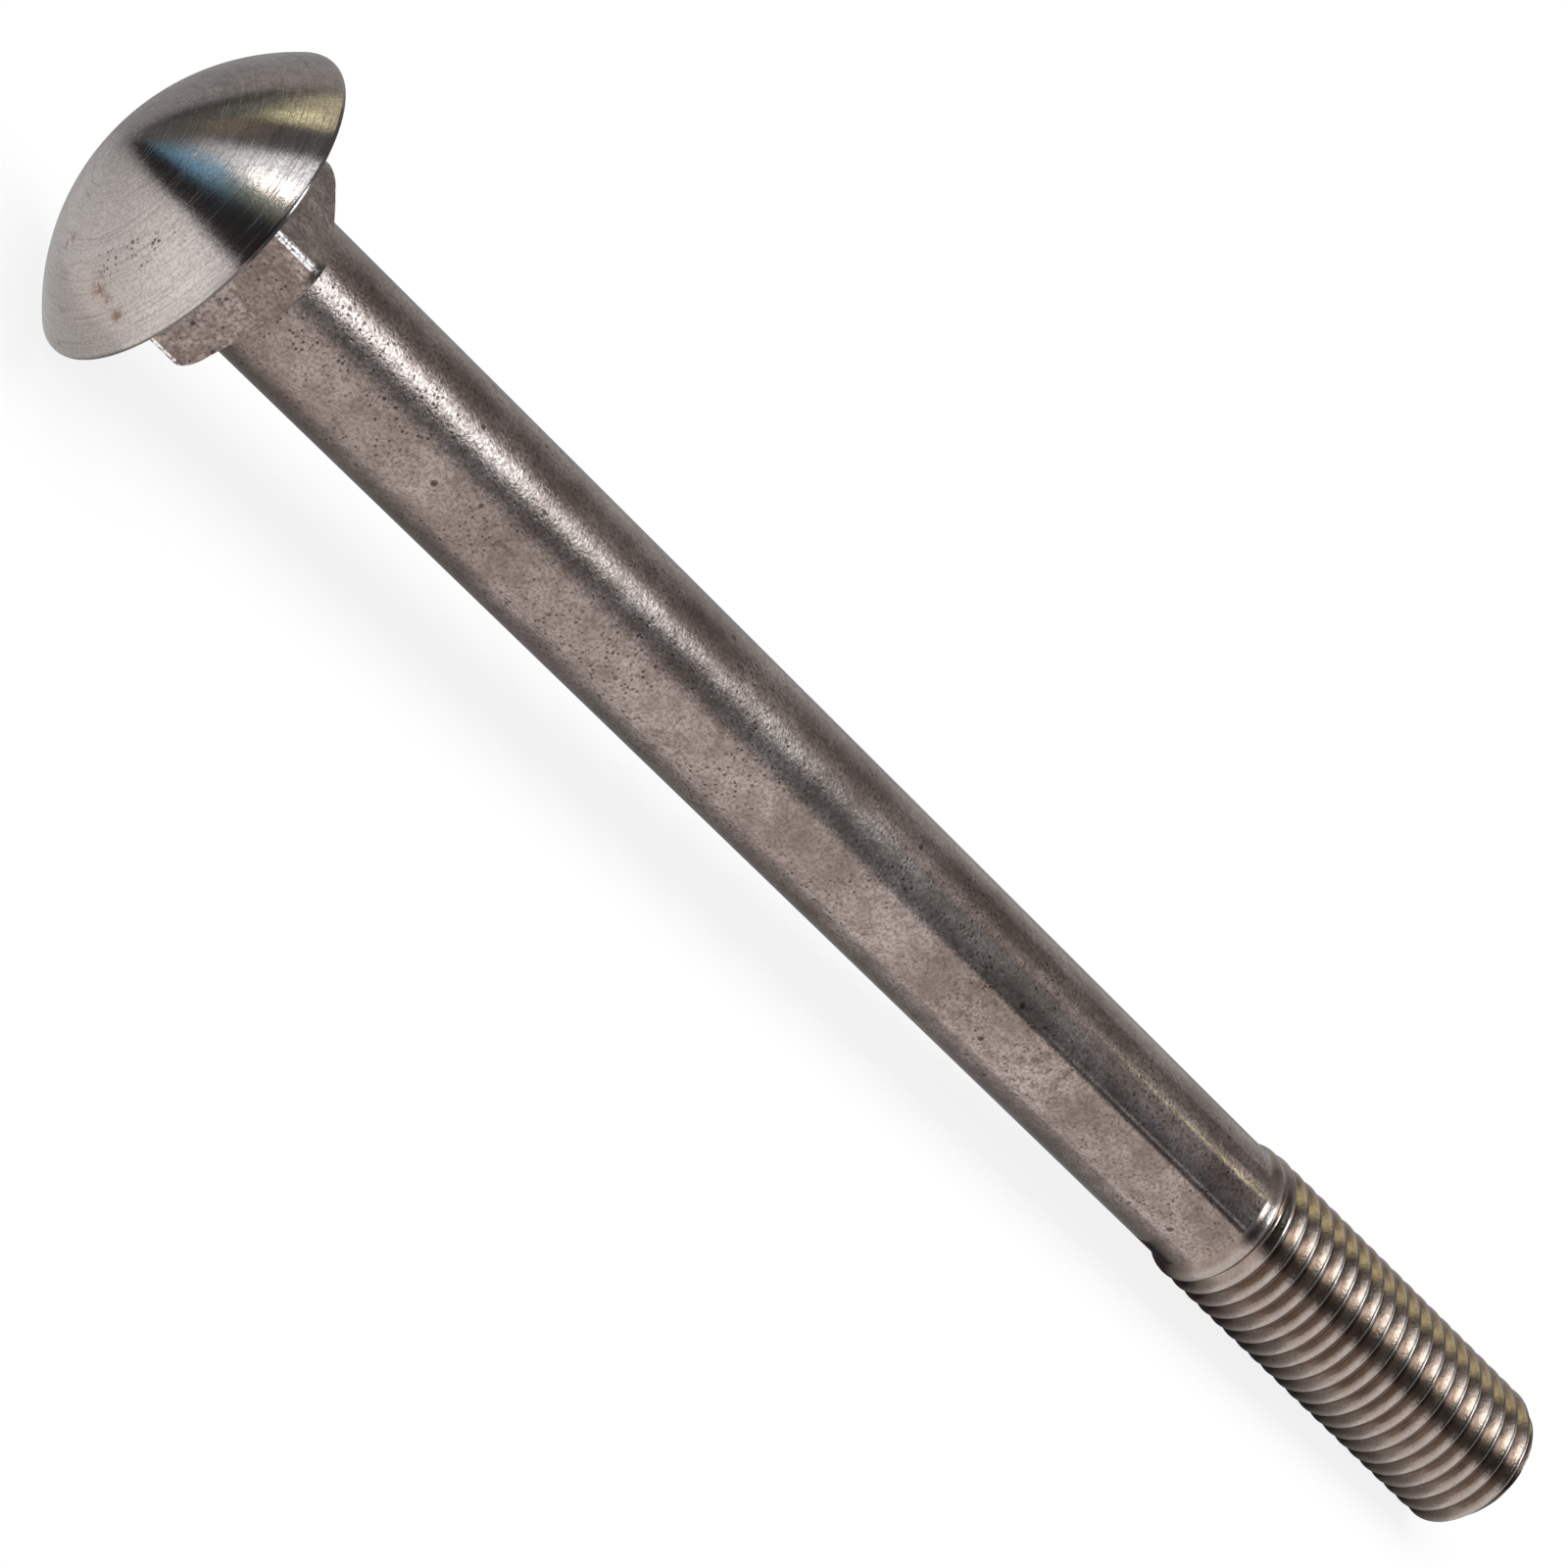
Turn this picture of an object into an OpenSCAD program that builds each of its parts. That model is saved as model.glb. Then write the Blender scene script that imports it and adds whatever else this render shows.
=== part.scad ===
// Long carriage bolt in one piece of stainless steel: a turned dome head, a forged square neck,
// a plain shank of about the thread's pitch diameter, and a rolled coarse thread with a rounded point.
// It lies on its head's rim and its thread's end. +X runs from the head to the point, +Z is up,
// and the origin is on the ground under the middle of the bolt's box.

/* [Head] */
// Diameter of the head over its rim
head_d = 39.6; // [32:0.1:46]
// Height of the dome above the band round its rim
dome_h = 9.3; // [6:0.1:12]
// Width of the narrow band round the rim
rim_band = 0.4; // [0.2:0.1:1.5]

/* [Square neck] */
// Width of the neck across its flats
neck_w = 18.8; // [18:0.1:22]
// Depth of the neck under the head, at the middle of its flats
neck_depth = 10.3; // [8:0.1:16]
// Radius by which the neck's corners are rounded off at its end
neck_round = 2.0; // [1:0.1:3]
// Depth by which those rounded corners stay behind the middle of the flats
neck_crown = 0.3; // [0.1:0.1:1]
// Radius of the fillet from the neck's end to the shank
neck_fillet = 0.9; // [0.4:0.1:1.5]
// Radius along the neck's four long edges
neck_edge_r = 0.5; // [0.2:0.1:1.5]

/* [Shank] */
// Length of the bolt from the underside of its head to its point
bolt_l = 228.6; // [120:0.1:300]
// Diameter of the plain shank
shank_d = 17.35; // [16.6:0.05:17.8]

/* [Thread] */
// Outside diameter of the thread
thread_d = 18.9; // [18.6:0.05:19.6]
// Pitch of the thread, which is 10 turns to the inch
pitch = 2.54; // [2:0.01:3]
// Length of the whole threaded end, with its run-out
thread_l = 54.4; // [30:0.1:90]
// Depth of the thread from crest to root
thread_h = 1.5; // [1.2:0.01:1.6]
// Width of the flat on each crest
crest_w = 0.32; // [0.2:0.01:0.5]
// Angle between the two flanks of a groove
flank_angle = 60; // [50:1:62]
// Length of the cone by which the shank widens to the thread
run_out = 2.0; // [1:0.1:6]
// Turns over which the first groove reaches its full depth
fade_turns = 0.8; // [0.5:0.1:2]
// Angle by which the thread's start is turned from the bolt's underside
thread_turn = 60; // [0:1:359]
// Radius that rounds the edge of the point
point_r = 2.0; // [1:0.1:3]

/* [Hidden] */
$fn = 128;

head_r = head_d / 2;
shank_r = shank_d / 2;
thread_r = thread_d / 2;

// Sphere that passes through the dome's top and the band's edge
dome_r = (head_r * head_r + dome_h * dome_h) / (2 * dome_h);
head_top = rim_band + dome_h;

// The skirt is how far one surface stands clear of its neighbour, so that none of them coincide
skirt = 0.1;
skirt_l = 0.3;

// The bolt leans on the head's rim and on the last crest before the point is rounded
point_start = bolt_l - point_r;
bar_r = thread_r + skirt;
lay_tilt = atan((head_r - thread_r) / point_start);
lift = head_r * cos(lay_tilt);
low_x = (dome_r - head_top) * cos(lay_tilt) - dome_r;
high_x = point_start * cos(lay_tilt) + (bar_r - point_r) * sin(lay_tilt) + point_r;
centre_x = (low_x + high_x) / 2;

// The thread is a strip of four-point steps that climbs round the axis
steps = 36;
corners = 4;
flank_w = thread_h * tan(flank_angle / 2);
root_w = pitch - crest_w - 2 * flank_w;
thread_start = bolt_l - thread_l;
strip_start = thread_start + skirt_l;
turns = ceil((bolt_l - strip_start) / pitch);
last = steps * turns;
strip_top = strip_start + pitch * (turns + 1) + skirt_l;
// Places of a step's corners along the axis: both edges of the crest, both edges of the root
corner_z = [0, crest_w, crest_w + flank_w, crest_w + flank_w + root_w];

// Radius of the cone that the shank widens by, up to the thread's outside
function widened(z) = min(thread_r,
    shank_r - skirt + (thread_r - shank_r + skirt) * (z - thread_start + skirt_l) / run_out);
// Depth of the groove i steps along the strip
function groove(i) = thread_h * min(1, i / (steps * fade_turns));
function strip_z(i, j) = strip_start + pitch * i / steps + corner_z[j];
function strip_r(i, j) = widened(strip_z(i, j)) - (j < 2 ? 0 : groove(i));
function round_axis(r, i, z) = [r * cos(360 * i / steps), r * sin(360 * i / steps), z];

// Numbers of the points: the first ring, the last ring, then the strip's steps
function ring_a(i) = i % steps;
function ring_b(i) = steps + i % steps;
function strip(i, j) = 2 * steps + i * corners + j;
// The corner that follows j on the way up: the next one, or the first one a turn later
function above(i, j) = j < corners - 1 ? strip(i, j + 1) : strip(i + steps, 0);

module threaded_end() {
    end_ring_r = thread_r - thread_h - skirt;
    points = [
        for (i = [0:steps - 1]) round_axis(shank_r - skirt, i, thread_start - skirt_l),
        for (i = [0:steps - 1]) round_axis(end_ring_r, i, strip_top),
        for (i = [0:last]) for (j = [0:corners - 1]) round_axis(strip_r(i, j), i, strip_z(i, j))
    ];
    fan = strip(steps - 1, 0);
    faces = [
        [for (i = [0:steps - 1]) ring_a(i)],
        [for (i = [steps - 1:-1:0]) ring_b(i)],
        // The strip's own facets
        for (i = [0:last - 1]) for (j = [0:corners - 1]) if (j < corners - 1 || i + steps < last)
            each [[strip(i, j), above(i, j), above(i + 1, j)],
                  [strip(i, j), above(i + 1, j), strip(i + 1, j)]],
        // From the first ring up to the strip's lower edge, and the corner where the strip begins
        for (i = [0:steps - 2])
            each [[ring_a(i), strip(i, 0), strip(i + 1, 0)],
                  [ring_a(i), strip(i + 1, 0), ring_a(i + 1)]],
        [fan, strip(steps, 0), strip(0, corners - 1)],
        for (j = [corners - 1:-1:1]) [fan, strip(0, j), strip(0, j - 1)],
        [fan, strip(0, 0), ring_a(0)],
        [fan, ring_a(0), ring_a(steps - 1)],
        // From the strip's upper edge to the last ring, and the face where the strip ends
        for (i = [last - steps:last - 1])
            each [[strip(i, corners - 1), ring_b(i), ring_b(i + 1)],
                  [strip(i, corners - 1), ring_b(i + 1), strip(i + 1, corners - 1)]],
        [strip(last - steps, 3), strip(last, 0), strip(last, 1), strip(last, 2), ring_b(0)],
        [strip(last, 2), strip(last, 3), ring_b(0)]
    ];
    intersection() {
        polyhedron(points, faces);
        pointed_bar();
    }
}

// Bar that cuts the thread off at its point: a little wider than the thread, with a rounded edge
module pointed_bar() {
    rotate_extrude() {
        square([bar_r - point_r, bolt_l]);
        square([bar_r, point_start]);
        translate([bar_r - point_r, point_start]) circle(point_r);
    }
}

module head() {
    intersection() {
        translate([0, 0, dome_r - head_top]) sphere(dome_r);
        translate([0, 0, -head_top]) cylinder(r = head_r, h = head_top);
    }
}

// Square bar with rounded long edges, whose corners are rounded off at its end
module square_neck() {
    half = neck_w / 2 - neck_edge_r;
    bar_l = neck_depth + neck_fillet;
    intersection() {
        union() {
            for (across = [0, 90]) rotate(across)
                translate([-neck_w / 2, -half, 0]) cube([neck_w, 2 * half, bar_l]);
            for (x = [-half, half]) for (y = [-half, half])
                translate([x, y, 0]) cylinder(r = neck_edge_r, h = bar_l);
        }
        neck_envelope();
    }
}

// Turned form that cuts the square bar: a rounded shoulder, a shallow cone and a hollow fillet
module neck_envelope() {
    corner_r = neck_w / 2 * sqrt(2);
    shoulder = neck_depth - neck_crown - neck_round;
    rotate_extrude() polygon([
        [0, 0], [corner_r, 0],
        for (a = [0:10:90]) [corner_r - neck_round * (1 - cos(a)), shoulder + neck_round * sin(a)],
        for (a = [0:15:90]) [shank_r + neck_fillet * (1 - sin(a)), neck_depth + neck_fillet * (1 - cos(a))],
        [0, neck_depth + neck_fillet]
    ]);
}

module carriage_bolt() {
    color("#9c938f")
    translate([-centre_x, 0, lift])
    rotate([0, 90 + lay_tilt, 0]) {
        head();
        square_neck();
        cylinder(r = shank_r, h = thread_start);
        rotate(thread_turn) threaded_end();
    }
}

carriage_bolt();
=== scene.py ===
import bpy
import numpy as np
from mathutils import Matrix, Vector


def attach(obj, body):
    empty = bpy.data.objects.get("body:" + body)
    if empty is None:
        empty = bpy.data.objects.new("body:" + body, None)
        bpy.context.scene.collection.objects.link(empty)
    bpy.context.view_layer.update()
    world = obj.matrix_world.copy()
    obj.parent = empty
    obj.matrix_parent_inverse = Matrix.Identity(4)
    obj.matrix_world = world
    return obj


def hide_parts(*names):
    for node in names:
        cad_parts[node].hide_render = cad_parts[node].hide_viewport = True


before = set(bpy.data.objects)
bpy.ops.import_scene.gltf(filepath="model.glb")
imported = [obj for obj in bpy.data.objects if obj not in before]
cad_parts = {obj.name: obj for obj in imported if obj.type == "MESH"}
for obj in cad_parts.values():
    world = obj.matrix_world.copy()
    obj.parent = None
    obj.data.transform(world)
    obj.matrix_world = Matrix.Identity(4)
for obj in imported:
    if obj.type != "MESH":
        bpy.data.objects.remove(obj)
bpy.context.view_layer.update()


# The head: one end of a stainless bar, upset hot into a die and then turned bright on a lathe.
# The tool has left fine rings round the axis, so the dome shines in wedges that meet at its top.
head_radius = 19.8
dome_height = 9.28
rim_band = 0.4
rim_round = 0.07
underside_radius = 19.45
# Points on each ring of the bolt's skin, and how closely they crowd at the neck's corners
columns = 192
crowding = 0.85
# The bolt's lie: the dip of its axis towards the point, the middle of the head's underside, and the
# directions along the bolt, above it and beside it
lie_angle = 0.04564377
underside_centre = np.array([-109.4959, 0.0, 19.7794])
along = np.array([np.cos(lie_angle), 0.0, -np.sin(lie_angle)])
above = np.array([np.sin(lie_angle), 0.0, np.cos(lie_angle)])
aside = np.array([0.0, 1.0, 0.0])


def columns_round_axis():
    """Angles of the columns: even steps less a fourfold sine, which crowds them at the neck's corners."""
    even = np.arange(columns) * 2 * np.pi / columns
    return even - crowding / 4 * np.sin(4 * (even - np.pi / 4))


def placed(station, radius, angle):
    """Points in metres: the underside's centre, plus station along the axis, plus radius at an angle.

    The angle is counted from straight down, towards +Y.
    """
    out = np.sin(angle)[..., None] * aside - np.cos(angle)[..., None] * above
    return (underside_centre + station[..., None] * along + radius[..., None] * out) / 1000.0


def dome_rows():
    """Stations and radii from the top to the underside: an arc of the sphere through both, then the band.

    The sphere's radius is the sum of the squares of the head's radius and height over twice its height.
    """
    sphere = (head_radius ** 2 + dome_height ** 2) / (2 * dome_height)
    swing = np.arcsin((head_radius - rim_round) / sphere) * np.linspace(0.0, 1.0, 47)
    station = sphere * (1 - np.cos(swing)) - rim_band - dome_height
    radius = sphere * np.sin(swing)
    band_station = [-0.39, -0.33, -0.12, -0.04, 0.0, 0.0]
    band_radius = [19.785, head_radius, head_radius, 19.775, 19.7, underside_radius]
    return np.r_[station, band_station], np.r_[radius, band_radius]


def joined(tree, kind, settings=None, inputs=None):
    """Add one shader node: settings are its own choices, inputs are numbers or the sockets that feed it."""
    node = tree.nodes.new(kind)
    for name, value in (settings or {}).items():
        setattr(node, name, value)
    for name, value in (inputs or {}).items():
        socket = node.inputs[name]
        if isinstance(value, bpy.types.NodeSocket):
            tree.links.new(value, socket)
        else:
            socket.default_value = value
    return node


def maths(tree, kind, first, second=0.0):
    """One step of arithmetic on two numbers or sockets."""
    step = joined(tree, "ShaderNodeMath", {"operation": kind}, {0: first, 1: second})
    return step.outputs[0]


def millimetres(tree):
    """Object coordinates turned to the bolt's own axis and counted in millimetres from under its head."""
    place = joined(tree, "ShaderNodeTexCoord")
    turn = joined(tree, "ShaderNodeMapping", {"vector_type": "TEXTURE"}, {
        "Vector": place.outputs["Object"],
        "Location": tuple(underside_centre / 1000.0),
        "Rotation": (0.0, lie_angle, 0.0),
        "Scale": (0.001, 0.001, 0.001),
    })
    return turn.outputs["Vector"]


def cloud(tree, where, scale, detail=3.0, rough=0.55, stretch=(1.0, 1.0, 1.0)):
    """Soft noise from 0 to 1 at a place, with so many lumps a millimetre along each axis."""
    spread = joined(tree, "ShaderNodeVectorMath", {"operation": "MULTIPLY"}, {0: where, 1: stretch})
    noise = joined(tree, "ShaderNodeTexNoise", None, {
        "Vector": spread.outputs[0], "Scale": scale, "Detail": detail, "Roughness": rough})
    return noise.outputs["Fac"]


def between(tree, value, low, high, start=0.0, end=1.0):
    """Smooth step: start below low, end above high."""
    step = joined(tree, "ShaderNodeMapRange", {"interpolation_type": "SMOOTHSTEP"}, {
        "Value": value, "From Min": low, "From Max": high, "To Min": start, "To Max": end})
    return step.outputs["Result"]


def tinted(tree, share, first, second):
    """Colour that goes from first to second as share goes from 0 to 1."""
    mix = joined(tree, "ShaderNodeMix", {"data_type": "RGBA"}, {0: share})
    for name, colour in (("A", first), ("B", second)):
        socket = [s for s in mix.inputs if s.name == name and s.type == "RGBA"][0]
        if isinstance(colour, bpy.types.NodeSocket):
            tree.links.new(colour, socket)
        else:
            socket.default_value = (*colour, 1.0)
    return [s for s in mix.outputs if s.type == "RGBA"][0]


def round_axis(tree, where):
    """Distance from the axis, direction round it as a vector of length one, and station along it."""
    parts = joined(tree, "ShaderNodeSeparateXYZ", None, {"Vector": where})
    flat = joined(tree, "ShaderNodeCombineXYZ", None, {"Y": parts.outputs["Y"], "Z": parts.outputs["Z"]})
    length = joined(tree, "ShaderNodeVectorMath", {"operation": "LENGTH"}, {0: flat.outputs[0]})
    unit = joined(tree, "ShaderNodeVectorMath", {"operation": "NORMALIZE"}, {0: flat.outputs[0]})
    return length.outputs["Value"], unit.outputs[0], parts.outputs["X"]


def steel(name, anisotropy=0.0):
    """Bare metal; where its shine is drawn out, its tangent runs from the head's top to the point."""
    material = bpy.data.materials.new(name)
    material.use_nodes = True
    tree = material.node_tree
    shader = tree.nodes["Principled BSDF"]
    shader.inputs["Metallic"].default_value = 1.0
    shader.inputs["Anisotropic"].default_value = anisotropy
    if anisotropy:
        drawn = joined(tree, "ShaderNodeTangent", {"direction_type": "UV_MAP", "uv_map": "turning"})
        tree.links.new(drawn.outputs[0], shader.inputs["Tangent"])
    return material, tree, shader


def raised(tree, shader, height, distance):
    """Let a pattern stand out from the surface, by so many metres for each unit of its height."""
    bump = joined(tree, "ShaderNodeBump", None, {"Height": height, "Distance": distance, "Strength": 1.0})
    tree.links.new(bump.outputs[0], shader.inputs["Normal"])


def near(tree, where, spot, inner, outer):
    """1 within the inner distance of a spot in millimetres, falling to 0 at the outer one."""
    gap = joined(tree, "ShaderNodeVectorMath", {"operation": "DISTANCE"}, {0: where, 1: spot})
    return between(tree, gap.outputs["Value"], inner, outer, 1.0, 0.0)


def dots(tree, where, spacing, radius, share):
    """Round dots from 0 to 1: discs of random size up to the radius, round a share of scattered points."""
    scatter = joined(tree, "ShaderNodeTexVoronoi", {"feature": "F1"}, {
        "Vector": where, "Scale": 1.0 / spacing})
    draw = joined(tree, "ShaderNodeSeparateColor", None, {"Color": scatter.outputs["Color"]})
    reach = between(tree, draw.outputs["Red"], 1.0 - share, 1.0, 0.0, radius / spacing)
    gap = maths(tree, "SUBTRACT", scatter.outputs["Distance"], reach)
    return between(tree, gap, -0.5 * radius / spacing, 0.0, 1.0, 0.0)


def times(tree, *values):
    """Product of several numbers or sockets."""
    total = values[0]
    for value in values[1:]:
        total = maths(tree, "MULTIPLY", total, value)
    return total


def zones(tree, where, spots):
    """1 in any of several round zones: the greatest of their nearness, by place, inner and outer distance."""
    zone = 0.0
    for spot, inner, outer in spots:
        zone = maths(tree, "MAXIMUM", zone, near(tree, where, spot, inner, outer))
    return zone


dome_steel, tree, shader = steel("bright_turned_steel", 0.88)
where = millimetres(tree)
distance, direction, station = round_axis(tree, where)
ring = joined(tree, "ShaderNodeCombineXYZ", None, {"X": distance})
slow_turn = joined(tree, "ShaderNodeVectorMath", {"operation": "MULTIPLY_ADD"}, {
    0: direction, 1: (0.0, 1.3, 1.3), 2: ring.outputs[0]})
rings = cloud(tree, slow_turn.outputs[0], 1.0, 6.0, 0.7, (7.0, 1.0, 1.0))
cuts = between(tree, cloud(tree, slow_turn.outputs[0], 1.0, 3.0, 0.7, (5.5, 1.3, 1.3)), 0.56, 0.70)
haze = cloud(tree, where, 0.16, 4.0, 0.6)
grain = cloud(tree, where, 3.2, 3.0, 0.7)
# Pits lie in one band across the front, with a few strays elsewhere, and stains below them
specks = maths(tree, "MAXIMUM", dots(tree, where, 0.4, 0.25, 1.0), dots(tree, where, 0.9, 0.33, 0.7))
speck_zone = zones(tree, where, (
    ((-6.0, -12.5, -4.4), 0.6, 2.6), ((-6.2, -12.9, -1.2), 0.2, 1.9), ((-5.6, -13.8, 1.6), 0.2, 1.7),
    ((-5.1, -14.1, 4.0), 0.1, 1.5), ((-4.9, -14.9, -0.5), 0.0, 1.3)))
strays = dots(tree, where, 2.6, 0.24, 0.3)
pits = maths(tree, "MAXIMUM", times(tree, specks, speck_zone), times(tree, strays, 0.8))
blots = between(tree, cloud(tree, where, 0.9, 5.0, 0.7), 0.43, 0.53)
stain_zone = zones(tree, where, (
    ((-4.7, -13.6, -6.6), 0.3, 1.7), ((-3.9, -15.2, -6.2), 0.0, 1.2), ((-2.8, -16.6, -5.8), 0.2, 1.2),
    ((-7.1, -5.7, -9.9), 0.1, 0.9), ((-7.4, -6.4, -8.7), 0.1, 0.8)))
swirl = maths(tree, "SUBTRACT", cloud(tree, slow_turn.outputs[0], 1.0, 2.0, 0.5, (1.3, 0.35, 0.35)), 0.5)
arcs = between(tree, maths(tree, "ABSOLUTE", swirl), 0.004, 0.018, 1.0, 0.0)
weather = times(tree, near(tree, where, (-6.0, 5.0, 12.0), 5.0, 13.0),
                between(tree, cloud(tree, where, 0.9, 6.0, 0.75), 0.46, 0.62))
brown_haze = near(tree, where, (-4.2, -14.0, -8.2), 1.0, 6.0)
clean = tinted(tree, between(tree, rings, 0.3, 0.7), (0.43, 0.387, 0.375), (0.60, 0.545, 0.53))
hazed = tinted(tree, between(tree, haze, 0.35, 0.7, 0.0, 0.35), clean, (0.40, 0.355, 0.335))
grained = tinted(tree, between(tree, grain, 0.42, 0.62, 0.0, 0.72), hazed, (0.33, 0.29, 0.275))
weathered = tinted(tree, times(tree, weather, 0.6), grained, (0.25, 0.205, 0.185))
warmed = tinted(tree, times(tree, brown_haze, 0.22), weathered, (0.50, 0.38, 0.31))
cut = tinted(tree, times(tree, cuts, 0.15), warmed, (0.30, 0.265, 0.25))
lined = tinted(tree, times(tree, arcs, 0.40), cut, (0.22, 0.185, 0.17))
pitted = tinted(tree, times(tree, pits, 0.95), lined, (0.10, 0.075, 0.06))
stained = tinted(tree, times(tree, blots, stain_zone, 0.8), pitted, (0.20, 0.12, 0.08))
# The rim band darkens towards the underside: painted shade
rim_painted_shade = tinted(tree, between(tree, station, -0.42, -0.25, 0.0, 0.75), stained, (0.10, 0.09, 0.085))
tree.links.new(rim_painted_shade, shader.inputs["Base Color"])
dulled = maths(tree, "ADD", times(tree, cuts, 0.24), times(tree, between(tree, grain, 0.45, 0.7), 0.08))
polish = maths(tree, "ADD", between(tree, rings, 0.2, 0.8, 0.13, 0.19), dulled)
top_polish = between(tree, distance, 0.5, 6.0, 0.55, 1.0)
tree.links.new(times(tree, polish, top_polish), shader.inputs["Roughness"])
fine_cut = maths(tree, "SUBTRACT", maths(tree, "ADD", rings, times(tree, grain, 0.4)),
                 maths(tree, "ADD", times(tree, cuts, 0.5), pits))
raised(tree, shader, fine_cut, 0.000016)


# The square neck: swaged under the head in the same blow, to bite into timber and hold the bolt still.
# Its flats keep the die's matte, pitted skin, and its corners are rounded off where they reach the shank.
neck_width = 18.8
neck_depth = 10.3
neck_round = 2.0
neck_crown = 0.3
neck_fillet = 0.9
neck_edge = 0.5
edge_softness = 0.035
# How far wear reaches from the neck's end edges in millimetres, and from its long edges in radians
end_wear_reach = 0.16
edge_wear_reach = 0.036
shank_radius = 8.675


def lesser(first, second, soft):
    """Smaller of two lengths, with a rounded change from one to the other.

    It is minus soft times the logarithm of the sum of both lengths' exponentials, each over minus soft.
    """
    least = np.minimum(first, second)
    return least - soft * np.log(np.exp((least - first) / soft) + np.exp((least - second) / soft))


def square_bar(angle):
    """Radius of a square bar: half its width over the cosine from a flat's middle, or its corner's round."""
    off_flat = (angle + np.pi / 4) % (np.pi / 2) - np.pi / 4
    off_corner = np.pi / 4 - np.abs(off_flat)
    flat = neck_width / 2 / np.cos(off_flat)
    centre = (neck_width / 2 - neck_edge) * np.sqrt(2)
    inside = neck_edge ** 2 - (centre * np.sin(off_corner)) ** 2
    corner = centre * np.cos(off_corner) + np.sqrt(np.maximum(inside, 0.0))
    return np.where(inside > 0, np.minimum(flat, corner), flat)


def neck_rows(angle):
    """Rows from under the head to the shank, and how worn each point of them is.

    They are the flat underside, then the lesser of the square bar and a turned form: a corner's circle,
    a rounded shoulder, a shallow cone and a hollow fillet. Wear falls off as a bell curve with the
    distance from an edge.
    """
    square = square_bar(angle)
    under = [(0.0, square + (underside_radius - square) * share) for share in (0.8, 0.55, 0.3, 0.12)]
    under += [(0.0, square + 0.3), (0.09, square + 0.09), (0.3, square)]
    corner = neck_width / 2 * np.sqrt(2)
    shoulder = neck_depth - neck_crown - neck_round
    sweep = np.radians(np.linspace(0, 90, 25))
    turned = [(a, corner) for a in (0.9, 1.8, 3.0, 4.2, 5.4, 6.6, 7.4)]
    turned += list(zip(shoulder + neck_round * np.sin(sweep), corner - neck_round * (1 - np.cos(sweep))))
    cone = np.linspace(0.06, 0.94, 16)
    top_of_fillet = shank_radius + neck_fillet
    turned += list(zip(neck_depth - neck_crown * (1 - cone),
                       corner - neck_round + (top_of_fillet - corner + neck_round) * cone))
    hollow = np.radians(np.linspace(0, 90, 13))
    turned += list(zip(neck_depth + neck_fillet * (1 - np.cos(hollow)),
                       shank_radius + neck_fillet * (1 - np.sin(hollow))))
    rows = under + [(a, lesser(square, np.full_like(square, r), edge_softness)) for a, r in turned]
    station = np.array([a for a, r in rows])
    radius = np.array([r for a, r in rows])
    gap = np.array([square * 0 + 9.0 for a, r in under] + [np.abs(square - r) for a, r in turned])
    end_wear = np.exp(-(gap / end_wear_reach) ** 2) * (station > shoulder + 0.4)[:, None]
    off_corner = np.abs((angle % (np.pi / 2)) - np.pi / 4)
    below_edge = (station > 0.35) & (station < shoulder + 0.5)
    corner_wear = np.exp(-(off_corner / edge_wear_reach) ** 4) * below_edge[:, None]
    return station, radius, np.maximum(0.75 * end_wear, corner_wear)


neck_steel, tree, shader = steel("pitted_neck_steel")
where = millimetres(tree)
station = round_axis(tree, where)[2]
wear = joined(tree, "ShaderNodeAttribute", {"attribute_name": "wear"}).outputs["Fac"]
mottle = cloud(tree, where, 0.30, 5.0, 0.65)
grain = cloud(tree, where, 2.1, 5.0, 0.75)
specks = maths(tree, "MAXIMUM", dots(tree, where, 0.55, 0.17, 0.6), dots(tree, where, 2.0, 0.33, 0.4))
blots = between(tree, cloud(tree, where, 0.62, 4.0, 0.6), 0.60, 0.70)
patchy = cloud(tree, where, 0.16, 4.0, 0.6)
skin = tinted(tree, between(tree, mottle, 0.34, 0.66), (0.24, 0.187, 0.163), (0.56, 0.465, 0.43))
aged = tinted(tree, between(tree, patchy, 0.46, 0.62, 0.0, 0.5), skin, (0.20, 0.145, 0.118))
grained = tinted(tree, between(tree, grain, 0.43, 0.60, 0.0, 0.75), aged, (0.14, 0.104, 0.088))
pitted = tinted(tree, times(tree, specks, 0.8), grained, (0.055, 0.040, 0.034))
blotted = tinted(tree, times(tree, blots, 0.6), pitted, (0.11, 0.08, 0.065))
# Darker next to the head's underside: painted shade
shaded_under_head = tinted(tree, between(tree, station, 0.1, 1.3, 0.75, 0.0), blotted, (0.06, 0.055, 0.055))
polish = between(tree, maths(tree, "ADD", wear, times(tree, grain, 0.5)), 0.62, 0.86)
glitter = times(tree, polish, between(tree, cloud(tree, where, 2.6, 2.0, 0.6), 0.40, 0.52, 0.1, 1.0))
polished = tinted(tree, glitter, shaded_under_head, (1.0, 0.97, 0.95))
# A near-black spot where the front corner runs out into the shank: painted shade
painted_corner_shade = near(tree, where, (9.7, -8.8, 8.8), 0.8, 1.9)
corner_shaded = tinted(tree, times(tree, painted_corner_shade, 0.85), polished, (0.03, 0.025, 0.022))
tree.links.new(corner_shaded, shader.inputs["Base Color"])
dull = between(tree, mottle, 0.3, 0.7, 0.42, 0.56)
smoothed = maths(tree, "SUBTRACT", dull, times(tree, glitter, 0.24))
tree.links.new(smoothed, shader.inputs["Roughness"])
facets = times(tree, wear, cloud(tree, where, 1.7, 1.0, 0.5), 1.5)
depth = maths(tree, "SUBTRACT", times(tree, grain, 0.8), specks)
raised(tree, shader, maths(tree, "ADD", depth, facets), 0.00009)


# The shank: plain drawn bar, left at about the pitch diameter so that the thread can be rolled up from it.
# It is satin, with a faint mottle, dark pits and a few handling marks.
thread_start = 174.2


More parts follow.
